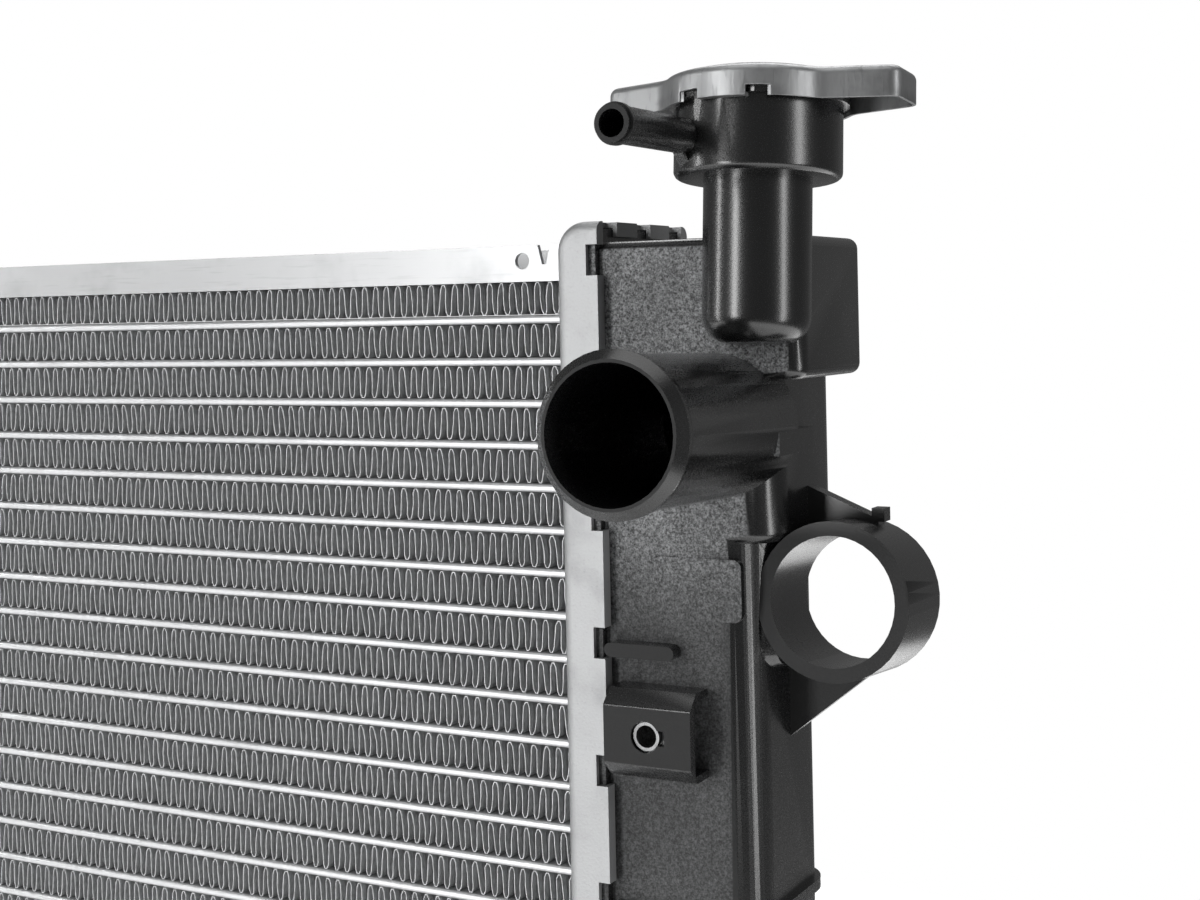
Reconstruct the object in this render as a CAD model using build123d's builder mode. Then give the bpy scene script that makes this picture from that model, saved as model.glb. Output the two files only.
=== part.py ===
"""Cross-flow car radiator: brazed aluminium core, crimped plastic end tanks, filler neck and pressure cap.

Frame: +X along the tubes towards the inlet tank, +Y away from the hose spigots, +Z up.
The origin is the middle of the flat underside of the bottom side plate. All sizes are in millimetres.
"""

import math
import os

from build123d import *

os.makedirs("parts", exist_ok=True)

# ---- core ------------------------------------------------------------------------------------------
core_length = 660.0
core_depth = 35.0
tube_count = 45
tube_height = 2.0
tube_wall = 0.3
fin_height = 8.0
fin_sheet = 0.1
fin_wave = 3.35
fin_strip_wave = 60.0
tube_stub = 4.0
braze_gap = 0.05

plate_sheet = 1.2
plate_flange = 8.6
plate_hole_radius = 1.95
plate_hole_inset = 12.5
plate_notch_inset = 6.5
plate_notch_width = 3.4
plate_notch_depth = 4.6

# ---- headers, gaskets and crimp --------------------------------------------------------------------
header_sheet = 1.3
header_margin = 6.5
header_width = 11.2
header_overhang = 22.3
header_end_radius = 7.0
header_edge_radius = 2.6
tab_reach = 3.4
tab_sheet = 1.2
notch_inset = 8.9
notch_gap = 7.1
notch_pitch = 29.2
notch_cut = 2.9
end_tab_gap = 7.0
end_tab_width = 10.3
gasket_height = 2.8
assembly_gap = 0.3

# ---- end tanks -------------------------------------------------------------------------------------
tank_wall = 2.5
tank_margin = 2.8
tank_end_inset = 6.9
tank_reach = 46.4
inlet_reach = 51.8
inlet_low = 36.5
chamber_reach = 59.0
chamber_drop = 29.6
chamber_rise = 2.2
tank_corner = 9.0
tank_edge = 2.5
inner_edge = 1.0
rib_height = 1.4
rib_width = 2.6
rib_spacing = 58.0
rib_drop = 136.0

# ---- hose spigots and nipple -----------------------------------------------------------------------
spigot_tilt = 1.7
spigot_radius = 16.1
spigot_wall = 1.7
bead_height = 1.0
bead_land = 1.6
bead_inset = 1.8
inlet_gap = 11.3
inlet_drop = 22.8
spigot_mouth = 54.5
spigot_root = 12.0
outlet_gap = 2.7
outlet_rise = 34.0
nipple_radius = 3.9
nipple_bead_radius = 4.4
nipple_bead_land = 1.2
nipple_bore = 2.85
nipple_side_shift = 10.7
nipple_rise = 9.3
nipple_length = 49.0
web_share = 0.45
web_slope = 7.0

# ---- filler neck -----------------------------------------------------------------------------------
neck_lean = 4.5
neck_x_offset = 49.4
neck_forward = 2.0
neck_rise = 29.7
neck_radius = 12.0
neck_bore = 9.4
neck_depth = 36.0
neck_bottom_radius = 6.0
collar_radius = 18.6
collar_wall = 2.4
collar_height = 19.8
collar_floor = 2.5
collar_round = 1.6
seat_height = 1.0
seat_step = 4.8
flange_overlap = 1.4
flange_height = 3.8
lug_width = 11.0
lug_clearance = 1.5

# ---- pressure cap ----------------------------------------------------------------------------------
cap_sheet = 0.8
cap_radial_gap = 0.3
cap_skirt = 7.0
skirt_gap_width = 5.0
skirt_gap_height = 2.2
ear_span = 69.0
ear_width = 25.0
ear_tip_width = 13.0
ear_tip_radius = 3.2
ear_root_radius = 7.0
shell_round = 1.9
cover_inset = 1.8
cover_height = 0.8
rivet_radius = 2.6
rivet_head = 4.6
rivet_head_height = 1.2
top_seal_height = 1.0
top_seal_width = 6.6
diaphragm_sheet = 0.4
bell_radius = 8.0
bell_height = 8.6
bell_sheet = 0.6
spring_radius = 10.4
spring_wire = 1.5
spring_turns = 4
valve_gasket_height = 2.0
valve_side_gap = 2.0
valve_gasket_inner = 6.4
valve_sheet = 0.8
valve_cup_gap = 0.2
valve_cup_skirt = 1.6
valve_sleeve_height = 6.0
vacuum_radius = 4.8
vacuum_hole = 2.4
vacuum_stem = 0.9
vacuum_sheet = 0.8
vacuum_spring_radius = 2.2
vacuum_spring_wire = 0.4
vacuum_rise = 3.2
vacuum_spring_gap = 0.9
vacuum_spring_turns = 4
sliding_gap = 0.3

# ---- ring bracket, pads, pegs ----------------------------------------------------------------------
ring_x_offset = 62.7
ring_drop = 63.0
ring_bore = 14.4
ring_front = 14.8
ring_wall = 3.2
ring_length = 21.8
ring_tilt = 4.5
gusset_sheet = 4.0
gusset_top = 37.0
gusset_bottom = 97.0
saddle_reach = 20.0
saddle_rise = 17.0
saddle_round = 5.0
nub_size = 3.0
pad_x_offset = 13.5
pad_length = 21.5
pad_drop = 93.0
pad_face = 13.0
pad_bevel = 3.4
pad_stand = 9.5
pad_wall = 2.4
pad_hole = 3.5
pad_slot_width = 3.4
pad_slot_length = 4.8
pad_hole_inset = 10.3
left_pad_drop = 40.7
clip_sheet = 0.8
clip_size = 9.4
clip_thread = 2.5
hook_drop = 75.3
hook_height = 3.2
hook_length = 17.5
hook_stand = 4.2
panel_drop = 61.0
panel_height = 14.0
panel_stand = 0.6
key_height = 5.2
key_length = 20.0
key_stand = 3.0
peg_radius = 6.0
peg_length = 18.0
peg_flange_radius = 9.0
peg_flange_height = 2.5
peg_chamfer = 1.5
peg_x_offset = 27.0

# ---- drain cock ------------------------------------------------------------------------------------
drain_rise = 6.5
drain_x_offset = 26.0
drain_boss_radius = 8.0
drain_boss_stand = 9.0
drain_bore = 4.2
drain_stem_radius = 4.15
drain_seal_radius = 4.1
drain_seal_seat = 2.9
drain_seal_wire = 1.9
drain_head_radius = 7.2
drain_head_height = 3.0
drain_wing_height = 10.0
drain_wing_sheet = 3.0
drain_head_gap = 0.5

# ---- worked-out levels -----------------------------------------------------------------------------
tube_pitch = tube_height + fin_height
core_height = tube_count * tube_height + (tube_count + 1) * fin_height
core_bottom = plate_sheet
core_top = core_bottom + core_height
tube_low = core_bottom + fin_height + tube_height / 2
tube_high = tube_low + (tube_count - 1) * tube_pitch
core_middle = (core_bottom + core_top) / 2
header_x = core_length / 2
header_depth = core_depth + 2 * header_margin
spigot_bore = spigot_radius - spigot_wall
bead_radius = spigot_radius + bead_height
inlet_x_offset = header_width + inlet_gap + spigot_radius
outlet_x_offset = header_width + outlet_gap + spigot_radius
ring_radius = ring_bore + ring_wall
tank_half_depth = core_depth / 2 + tank_margin
collar_bore = collar_radius - collar_wall
seat_radius = collar_bore - seat_step
flange_radius = collar_radius + flange_overlap
header_bottom = tube_low - header_overhang
header_top = tube_high + header_overhang
header_height = header_top - header_bottom
floor_x = header_x + header_sheet
foot_x = floor_x + gasket_height
foot_top_x = header_x + header_width - tab_sheet
foot_half_depth = header_depth / 2 - header_sheet - assembly_gap
foot_half_height = header_height / 2 - header_sheet - assembly_gap
opening_half_depth = tank_half_depth - tank_wall
tank_bottom = header_bottom + tank_end_inset
tank_top = header_top - tank_end_inset
front_wall = -tank_half_depth
core_front = -core_depth / 2
spigot_length = spigot_mouth - core_front - spigot_root


def shaped_block(x_in, x_out, half_depth, z_low, z_high, corner, edge):
    """Upright block whose two outer corners and its top and bottom rims are rounded."""
    with BuildPart() as block:
        with BuildSketch(Plane.XY.offset(z_low)):
            with Locations(((x_in + x_out) / 2, 0)):
                Rectangle(x_out - x_in, 2 * half_depth)
        extrude(amount=z_high - z_low)
        fillet(block.edges().filter_by(Axis.Z).group_by(Axis.X)[-1], corner)
        rims = block.faces().filter_by(Axis.Z).edges().filter_by(
            lambda rim: rim.bounding_box().max.X > x_in + 0.001
        )
        fillet(rims, edge)
    return block.part


def ring_sketch(half_depth, half_height, radius, inner_half_depth, inner_half_height, inner_radius):
    """Rounded rectangular ring in the Y-Z plane, centred on the header."""
    with BuildSketch() as ring:
        RectangleRounded(2 * half_depth, 2 * half_height, radius)
        RectangleRounded(2 * inner_half_depth, 2 * inner_half_height, inner_radius, mode=Mode.SUBTRACT)
    return ring.sketch


def spigot_plane(x, z):
    """Plane at a hose spigot's mouth, looking back along the spigot into the tank."""
    tilt = math.radians(spigot_tilt)
    return Plane(
        origin=(x, core_front - spigot_mouth, z),
        x_dir=(1, 0, 0),
        z_dir=(0, math.cos(tilt), -math.sin(tilt)),
    )


def spigot_body(mouth):
    """Solid hose spigot with a rounded mouth and a retaining bead, before it is bored."""
    length = spigot_length
    bead_end = bead_inset + bead_land
    with BuildPart() as body:
        with BuildSketch(Plane(mouth.origin, x_dir=mouth.x_dir, z_dir=mouth.y_dir)):
            with BuildLine():
                Polyline(
                    (0, 0),
                    (spigot_radius - bead_height, 0),
                    (bead_radius, -bead_inset),
                    (bead_radius, -bead_end),
                    (spigot_radius, -bead_end - 2 * bead_height),
                    (spigot_radius, -length),
                    (0, -length),
                    close=True,
                )
            make_face()
        revolve(axis=Axis(mouth.origin, mouth.z_dir))
    return body.part


def spigot_cut(mouth):
    """Bore of a hose spigot, reaching through the tank wall."""
    with BuildPart() as bore:
        with BuildSketch(mouth):
            Circle(spigot_bore)
        extrude(amount=spigot_length - tank_wall)
    return bore.part


def pad_body(x_low, z_middle):
    """Bracket pad: a bevelled hollow box on the front wall, open on its outer side."""
    half = pad_face / 2
    back = front_wall + 1.0
    front = front_wall - pad_stand
    with BuildPart() as pad:
        with BuildSketch(Plane.YZ.offset(x_low)):
            with Locations((0, z_middle)):
                Polygon(
                    (back, -half - pad_bevel),
                    (front + pad_bevel, -half - pad_bevel),
                    (front, -half),
                    (front, half),
                    (front + pad_bevel, half + pad_bevel),
                    (back, half + pad_bevel),
                    align=None,
                )
        extrude(amount=pad_length)
        fillet(pad.edges().filter_by(Axis.X).group_by(Axis.Y)[0], 1.0)
        with BuildSketch(Plane.YZ.offset(x_low + pad_wall)):
            with Locations(((front + front_wall + pad_wall) / 2, z_middle)):
                Rectangle(pad_stand - pad_wall, pad_face + pad_bevel)
        extrude(amount=pad_length, mode=Mode.SUBTRACT)
        hole_x = x_low + pad_hole_inset
        with BuildSketch(Plane.XZ.offset(-front - pad_wall)):
            with Locations((hole_x, z_middle)):
                Circle(pad_hole)
            with Locations((hole_x + pad_slot_length / 2, z_middle)):
                Rectangle(pad_slot_length, pad_slot_width)
        extrude(amount=pad_wall, mode=Mode.SUBTRACT)
    return pad.part


# ---- core -----------------------------------------------------------------------------------------
tube_levels = [tube_low + index * tube_pitch for index in range(tube_count)]
tube_length = core_length + 2 * (header_sheet + tube_stub)

with BuildPart() as tubes:
    with BuildSketch(Plane.YZ.offset(-tube_length / 2)):
        with Locations(*[(0, level) for level in tube_levels]):
            SlotOverall(core_depth, tube_height)
        channel = core_depth / 2 - 1.5 * tube_wall
        with Locations(*[(side * channel / 2, level) for level in tube_levels for side in (-1, 1)]):
            Rectangle(channel - tube_height / 2, tube_height - 2 * tube_wall, mode=Mode.SUBTRACT)
    extrude(amount=tube_length)

tubes.part.label = "tubes"
export_step(tubes.part, "parts/tubes.step")

# Each strip is a corrugated ribbon brazed between two tubes. Its sheet is thickened for its longer
# wave, so that a row weighs what the fine ribbon weighs.
fine_ribbon = 2 * fin_height + fin_wave / 2
strip_sheet = fin_sheet * fine_ribbon / fin_wave
half_waves = 2 * round(core_length / fin_strip_wave)
half_wave = core_length / half_waves
strip_swing = (fin_height - strip_sheet) / 2
strip_line = [
    (-core_length / 2 + index * half_wave, strip_swing if index % 2 else -strip_swing)
    for index in range(half_waves + 1)
]
strip_top = [(x, z + strip_sheet / 2) for x, z in strip_line]
strip_bottom = [(x, z - strip_sheet / 2) for x, z in reversed(strip_line)]
fin_levels = [core_bottom + fin_height / 2 + index * tube_pitch for index in range(tube_count + 1)]

with BuildPart() as fin_strips:
    with BuildSketch(Plane.XZ.offset(-core_depth / 2)):
        with Locations(*[(0, level) for level in fin_levels]):
            Polygon(*strip_top, *strip_bottom, align=None)
    extrude(amount=core_depth)

fin_strips.part.label = "fin_strips"
export_step(fin_strips.part, "parts/fin_strips.step")


def side_plate(web_level, outward):
    """Channel along the core's edge: a flat web with two flanges that turn away from the core."""
    outer = web_level + outward * plate_flange
    inner = web_level + outward * plate_sheet
    half = core_depth / 2
    with BuildPart() as channel_part:
        with BuildSketch(Plane.YZ.offset(-core_length / 2)):
            Polygon(
                (-half, web_level),
                (half, web_level),
                (half, outer),
                (half - plate_sheet, outer),
                (half - plate_sheet, inner),
                (plate_sheet - half, inner),
                (plate_sheet - half, outer),
                (-half, outer),
                align=None,
            )
        extrude(amount=core_length)
        hole_level = (outer + inner) / 2
        hole_x = core_length / 2 - plate_hole_inset
        notch_x = core_length / 2 - plate_notch_inset
        with BuildSketch(Plane.XZ.offset(-half)):
            with Locations((hole_x, hole_level), (-hole_x, hole_level)):
                Circle(plate_hole_radius)
            for side in (-1, 1):
                with Locations((side * notch_x, outer)):
                    Polygon(
                        (-plate_notch_width / 2, 0),
                        (plate_notch_width / 2, 0),
                        (plate_notch_width / 6, -outward * plate_notch_depth),
                        (-plate_notch_width / 6, -outward * plate_notch_depth),
                        align=None,
                    )
        extrude(amount=core_depth, mode=Mode.SUBTRACT)
    return channel_part.part


with BuildPart() as side_plate_top:
    add(side_plate(core_top, 1))

side_plate_top.part.label = "side_plate_top"
export_step(side_plate_top.part, "parts/side_plate_top.step")

# The bottom plate's web lies under the core, with its flat underside at Z = 0.
with BuildPart() as side_plate_bottom:
    add(side_plate(core_bottom, -1))

side_plate_bottom.part.label = "side_plate_bottom"
export_step(side_plate_bottom.part, "parts/side_plate_bottom.step")

# ---- headers and gaskets ----------------------------------------------------------------------------
notch_run = header_height - 2 * notch_inset
notch_count = round(notch_run / notch_pitch) + 1
notch_step = notch_run / (notch_count - 1)
notch_levels = [header_bottom + notch_inset + index * notch_step for index in range(notch_count)]
end_notches = [side * (end_tab_gap / 2 + end_tab_width + end_tab_gap / 2) for side in (-1, 1)] + [0]
header_plane = Plane.YZ.offset(header_x)
rim_x = header_x + header_width

with BuildPart() as header_right:
    with BuildSketch(Plane.XZ.offset(-header_depth / 2)) as pan_outline:
        with Locations((header_x + header_width / 2, core_middle)):
            Rectangle(header_width, header_height)
        fillet(pan_outline.vertices().group_by(Axis.X)[0], header_end_radius)
    extrude(amount=header_depth)
    pan_rims = header_right.faces().filter_by(Axis.Y).edges().filter_by(
        lambda rim: rim.bounding_box().min.X < rim_x - 0.01
    )
    fillet(pan_rims, header_edge_radius)
    offset(amount=-header_sheet, openings=header_right.faces().sort_by(Axis.X)[-1])
    with BuildSketch(Plane.YZ.offset(rim_x - tab_sheet)):
        with Locations((0, core_middle)):
            add(
                ring_sketch(
                    header_depth / 2 - header_sheet / 2,
                    header_height / 2 - header_sheet / 2,
                    header_edge_radius - header_sheet / 2,
                    header_depth / 2 - tab_reach,
                    header_height / 2 - tab_reach,
                    tab_reach / 2,
                )
            )
    extrude(amount=tab_sheet)
    with BuildSketch(Plane.YZ.offset(rim_x - notch_cut)):
        with Locations(*[(0, level) for level in notch_levels]):
            Rectangle(header_depth, notch_gap)
        with Locations(*[(shift, core_middle) for shift in end_notches]):
            Rectangle(end_tab_gap, header_height)
    extrude(amount=notch_cut, mode=Mode.SUBTRACT)
    with BuildSketch(header_plane):
        with Locations(*[(0, level) for level in tube_levels]):
            SlotOverall(core_depth + 2 * braze_gap, tube_height + 2 * braze_gap)
    extrude(amount=header_sheet, mode=Mode.SUBTRACT)

header_right.part.label = "header_right"
export_step(header_right.part, "parts/header_right.step")

with BuildPart() as header_left:
    add(header_right.part.mirror(Plane.YZ))

header_left.part.label = "header_left"
export_step(header_left.part, "parts/header_left.step")



def gutter_ring(x_low, x_high):
    """Ring that lies in the header's gutter, clear of its rounded floor and walls."""
    with BuildPart() as ring:
        with BuildSketch(Plane.XZ.offset(-foot_half_depth)) as outline:
            with Locations(((floor_x + foot_top_x) / 2, core_middle)):
                Rectangle(foot_top_x - floor_x, 2 * foot_half_height)
            fillet(outline.vertices().group_by(Axis.X)[0], header_end_radius - header_sheet)
        extrude(amount=2 * foot_half_depth)
        long_rims = ring.faces().filter_by(Axis.Y).edges().filter_by(
            lambda rim: rim.bounding_box().min.X < foot_top_x - 0.01
        )
        fillet(long_rims, header_edge_radius - header_sheet)
        with BuildSketch(Plane.YZ.offset(floor_x)):
            with Locations((0, core_middle)):
                RectangleRounded(2 * opening_half_depth, tank_top - tank_bottom - 2 * tank_wall, 1.0)
        extrude(amount=foot_top_x, mode=Mode.SUBTRACT)
        split(bisect_by=Plane.YZ.offset(x_low), keep=Keep.TOP)
        split(bisect_by=Plane.YZ.offset(x_high), keep=Keep.BOTTOM)
    return ring.part


with BuildPart() as gasket_right:
    add(gutter_ring(floor_x, foot_x))

gasket_right.part.label = "gasket_right"
export_step(gasket_right.part, "parts/gasket_right.step")

with BuildPart() as gasket_left:
    add(gasket_right.part.mirror(Plane.YZ))

gasket_left.part.label = "gasket_left"
export_step(gasket_left.part, "parts/gasket_left.step")

# ---- tank shells ------------------------------------------------------------------------------------
column_x = header_x + tank_reach
inlet_x = header_x + inlet_reach
chamber_x = header_x + chamber_reach
chamber_bottom = tank_top - chamber_drop
inlet_bottom = chamber_bottom - inlet_low
chamber_top = tank_top + chamber_rise
inner_corner = tank_corner - tank_wall

column = shaped_block(foot_x, column_x, tank_half_depth, tank_bottom, tank_top, tank_corner, tank_edge)
column_inside = shaped_block(
    foot_x - 1.0,
    column_x - tank_wall,
    opening_half_depth,
    tank_bottom + tank_wall,
    tank_top - tank_wall,
    inner_corner,
    inner_edge,
)
inlet_block = shaped_block(
    foot_x,
    inlet_x,
    tank_half_depth,
    inlet_bottom,
    chamber_bottom + 2 * tank_edge,
    tank_corner,
    tank_edge,
)
inlet_inside = shaped_block(
    foot_x - 1.0,
    inlet_x - tank_wall,
    opening_half_depth,
    inlet_bottom + tank_wall,
    chamber_bottom + 3 * tank_wall,
    inner_corner,
    inner_edge,
)
chamber_block = shaped_block(
    foot_x,
    chamber_x,
    tank_half_depth,
    chamber_bottom,
    chamber_top,
    tank_corner / 2,
    tank_edge,
)
chamber_inside = shaped_block(
    foot_x - 1.0,
    chamber_x - tank_wall,
    opening_half_depth,
    chamber_bottom + tank_wall,
    tank_top - tank_wall,
    tank_corner / 2 - inner_edge,
    inner_edge,
)
foot = gutter_ring(foot_x, foot_top_x - assembly_gap / 3)

# Planes of the filler neck (at the collar's underside), the inlet and the ring bracket.
lean = math.radians(neck_lean)
neck_plane = Plane(
    origin=(header_x + neck_x_offset, core_front - neck_forward, tube_high + neck_rise),
    x_dir=(1, 0, 0),
    z_dir=(0, math.sin(lean), math.cos(lean)),
)
inlet_plane = spigot_plane(header_x + inlet_x_offset, tube_high - inlet_drop)
outlet_plane = spigot_plane(-header_x - outlet_x_offset, tube_low + outlet_rise)
ring_angle = math.radians(ring_tilt)
ring_plane = Plane(
    origin=(header_x + ring_x_offset, -ring_front, tube_high - ring_drop),
    x_dir=(1, 0, 0),
    z_dir=(0, math.cos(ring_angle), -math.sin(ring_angle)),
)
flange_bottom = collar_height - flange_height
nipple_start = neck_plane.origin + neck_plane.z_dir * nipple_rise
nipple_plane = Plane(
    origin=(nipple_start.X - nipple_side_shift, nipple_start.Y - nipple_length, nipple_start.Z),
    x_dir=(1, 0, 0),
    z_dir=(0, 1, 0),
)
rib_levels = [
    tube_high - rib_drop - index * rib_spacing
    for index in range(int((tube_high - rib_drop - tube_low) / rib_spacing) + 1)
]


rib_start = rim_x + assembly_gap


def tank_ribs(x_out, levels):
    """Low stiffening ribs across the tank's front, outer and back walls."""
    with BuildPart() as ribs:
        for level in levels:
            with BuildSketch(Plane.XY.offset(level)) as band:
                with Locations(((rib_start + x_out + rib_height) / 2, 0)):
                    Rectangle(x_out + rib_height - rib_start, 2 * (tank_half_depth + rib_height))
                fillet(band.vertices().group_by(Axis.X)[-1], tank_corner + rib_height)
            extrude(amount=rib_width)
    return ribs.part


def collar_ring():
    """Solid collar with a rounded lower edge and its cam flange."""
    with BuildPart() as ring:
        with BuildSketch(neck_plane):
            Circle(collar_radius)
        extrude(amount=collar_height)
        fillet(ring.edges().sort_by(Axis.Z)[0], collar_round)
        with BuildSketch(neck_plane.offset(flange_bottom)):
            Circle(flange_radius)
        extrude(amount=flange_height)
        with BuildSketch(neck_plane.offset(flange_bottom)):
            with Locations((0, flange_radius), (0, -flange_radius)):
                Rectangle(lug_width + 2 * lug_clearance, 2 * flange_overlap)
        extrude(amount=flange_height, mode=Mode.SUBTRACT)
    return ring.part


def ring_bracket():
    """Open ring beside the tank, with the saddle that blends it into the tank's front corner."""
    level = tube_high - ring_drop
    ring_x = header_x + ring_x_offset
    with BuildPart() as bracket:
        with BuildSketch(Plane.XY.offset(level - saddle_rise)):
            with BuildLine():
                Spline(
                    (column_x - saddle_reach, front_wall),
                    (column_x - tank_corner, front_wall + 0.1 * ring_wall),
                    (ring_x - ring_bore, ring_wall - ring_front),
                )
                Polyline(
                    (ring_x - ring_bore, ring_wall - ring_front),
                    (ring_x - ring_bore, ring_length - ring_front - ring_wall),
                    (column_x - tank_corner, tank_wall),
                    (column_x - saddle_reach, front_wall + tank_wall),
                    (column_x - saddle_reach, front_wall),
                )
            make_face()
        extrude(amount=2 * saddle_rise)
        fillet(bracket.faces().filter_by(Axis.Z).edges().filter_by(GeomType.BSPLINE), saddle_round)
        with BuildSketch(ring_plane):
            Circle(ring_radius)
        extrude(amount=ring_length)
        # two gussets and a small stop on the upper one
        with BuildSketch(Plane.XZ.offset(-gusset_sheet)):
            Polygon(
                (column_x - tank_wall, tube_high - gusset_top),
                (column_x, tube_high - gusset_top),
                (ring_x + ring_radius / 3, level + 0.95 * ring_radius),
                (ring_x + ring_radius / 2, level - 0.80 * ring_radius),
                (column_x, tube_high - gusset_bottom),
                (column_x - tank_wall, tube_high - gusset_bottom),
                align=None,
            )
        extrude(amount=gusset_sheet)
        with BuildSketch(Plane.XZ.offset(-gusset_sheet)):
            with Locations((ring_x + ring_radius / 3, level + ring_radius)):
                Rectangle(nub_size, nub_size)
        extrude(amount=gusset_sheet)
        with BuildSketch(ring_plane.offset(-ring_length)):
            Circle(ring_bore)
        extrude(amount=3 * ring_length, mode=Mode.SUBTRACT)
    return bracket.part


def neck_tube():
    """Solid filler tube with a rounded blind bottom."""
    with BuildPart() as tube:
        with BuildSketch(neck_plane.offset(-neck_depth)):
            Circle(neck_radius)
        extrude(amount=neck_depth + collar_floor)
        fillet(tube.faces().sort_by(Axis.Z)[0].edges(), neck_bottom_radius)
    return tube.part


peg_x = header_x + peg_x_offset
pad_x = header_x + pad_x_offset
pad_level = tube_high - pad_drop

with BuildPart() as tank_right:
    add(column)
    add(inlet_block)
    add(chamber_block)
    add(foot)
    add(tank_ribs(column_x, rib_levels))
    # filler neck tube, collar and cam flange
    add(neck_tube())
    add(collar_ring())
    # overflow nipple with its web
    with BuildSketch(nipple_plane):
        Circle(nipple_radius)
    extrude(amount=nipple_length - collar_bore / 2)
    with BuildSketch(nipple_plane.offset(nipple_bead_land)):
        Circle(nipple_bead_radius)
    extrude(amount=nipple_bead_land)
    nipple_x = nipple_plane.origin.X
    web_start = core_front - nipple_length * web_share
    with BuildSketch(Plane.YZ.offset(nipple_x - rib_width / 2)):
        Polygon(
            (web_start, nipple_plane.origin.Z - nipple_radius / 2),
            (core_front, nipple_plane.origin.Z - nipple_radius / 2),
            (core_front, neck_plane.origin.Z + collar_round),
            (web_start + web_slope, neck_plane.origin.Z + collar_round),
            align=None,
        )
    extrude(amount=rib_width)
    # inlet spigot and its key rib
    add(spigot_body(inlet_plane))
    key_level = tube_high - inlet_drop - key_height
    with BuildSketch(Plane.XY.offset(key_level - key_height / 2)):
        with Locations((inlet_x - key_stand / 2, front_wall + key_length / 2 - key_stand)):
            Rectangle(3 * key_stand, key_length)
    extrude(amount=key_height)
    add(ring_bracket())
    # hook rib, raised panel and bracket pad on the front wall
    with BuildSketch(Plane.XZ.offset(-front_wall - 1.0)):
        with Locations((rim_x + hook_length / 2, tube_high - hook_drop)):
            SlotOverall(hook_length, hook_height)
    extrude(amount=hook_stand + 1.0)
    with BuildSketch(Plane.XZ.offset(-front_wall - 1.0)):
        with Locations((header_x + inlet_x_offset - pad_length / 4, tube_high - panel_drop)):
            RectangleRounded(pad_length, panel_height, 2.0)
    extrude(amount=panel_stand + 1.0)
    add(pad_body(pad_x, pad_level))
    # locating peg under the tank
    with BuildSketch(Plane.XY.offset(tank_bottom + tank_wall)):
        with Locations((peg_x, 0)):
            Circle(peg_flange_radius)
    extrude(amount=-(tank_wall + peg_flange_height))
    with BuildSketch(Plane.XY.offset(tank_bottom)):
        with Locations((peg_x, 0)):
            Circle(peg_radius)
    extrude(amount=-(peg_flange_height + peg_length))
    chamfer(tank_right.edges().sort_by(Axis.Z)[0], peg_chamfer)
    # hollow inside
    add(column_inside, mode=Mode.SUBTRACT)
    add(inlet_inside, mode=Mode.SUBTRACT)
    add(chamber_inside, mode=Mode.SUBTRACT)
    add(spigot_cut(inlet_plane), mode=Mode.SUBTRACT)
    with BuildSketch(neck_plane.offset(tank_wall + neck_bottom_radius - neck_depth)):
        Circle(neck_bore)
    extrude(amount=neck_depth + collar_height, mode=Mode.SUBTRACT)
    with BuildSketch(neck_plane.offset(collar_floor)):
        Circle(collar_bore)
        Circle(seat_radius, mode=Mode.SUBTRACT)
    extrude(amount=collar_height, mode=Mode.SUBTRACT)
    with BuildSketch(neck_plane.offset(collar_floor + seat_height)):
        Circle(collar_bore)
    extrude(amount=collar_height, mode=Mode.SUBTRACT)
    with BuildSketch(nipple_plane):
        Circle(nipple_bore)
    extrude(amount=nipple_length - collar_bore / 2, mode=Mode.SUBTRACT)

tank_right.part.label = "tank_right"
export_step(tank_right.part, "parts/tank_right.step")

# ---- outlet tank ------------------------------------------------------------------------------------
drain_plane = Plane(
    origin=(-header_x - drain_x_offset, front_wall - drain_boss_stand, tube_low + drain_rise),
    x_dir=(1, 0, 0),
    z_dir=(0, 1, 0),
)
left_rib_levels = [tube_low + rib_drop / 2 + index * rib_spacing for index in range(len(rib_levels))]

with BuildPart() as tank_left:
    add(column.mirror(Plane.YZ))
    add(foot.mirror(Plane.YZ))
    add(tank_ribs(column_x, left_rib_levels).mirror(Plane.YZ))
    add(pad_body(pad_x, tube_high - left_pad_drop).mirror(Plane.YZ))
    add(pad_body(pad_x, core_middle).mirror(Plane.YZ))
    add(spigot_body(outlet_plane))
    with BuildSketch(drain_plane):
        Circle(drain_boss_radius)
    extrude(amount=drain_boss_stand + tank_wall)
    with BuildSketch(Plane.XY.offset(tank_bottom + tank_wall)):
        with Locations((-peg_x, 0)):
            Circle(peg_flange_radius)
    extrude(amount=-(tank_wall + peg_flange_height))
    with BuildSketch(Plane.XY.offset(tank_bottom)):
        with Locations((-peg_x, 0)):
            Circle(peg_radius)
    extrude(amount=-(peg_flange_height + peg_length))
    chamfer(tank_left.edges().sort_by(Axis.Z)[0], peg_chamfer)
    add(column_inside.mirror(Plane.YZ), mode=Mode.SUBTRACT)
    add(spigot_cut(outlet_plane), mode=Mode.SUBTRACT)
    with BuildSketch(drain_plane):
        Circle(drain_bore)
    extrude(amount=drain_boss_stand + 2 * tank_wall, mode=Mode.SUBTRACT)

tank_left.part.label = "tank_left"
export_step(tank_left.part, "parts/tank_left.step")


def clip_nut(x_low, z_middle):
    """Spring-steel plate nut held behind a bracket pad's face."""
    face = front_wall - pad_stand + pad_wall
    hole_x = x_low + pad_hole_inset
    with BuildPart() as nut:
        with BuildSketch(Plane.XZ.offset(-face - clip_sheet)):
            with Locations((hole_x, z_middle)):
                RectangleRounded(clip_size, clip_size, 1.0)
                Circle(clip_thread, mode=Mode.SUBTRACT)
        extrude(amount=clip_sheet)
        with BuildSketch(Plane.XZ.offset(-face)):
            with Locations((hole_x, z_middle)):
                Circle(clip_thread + 0.7)
                Circle(clip_thread, mode=Mode.SUBTRACT)
        extrude(amount=pad_wall - clip_sheet)
    return nut.part


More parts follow.
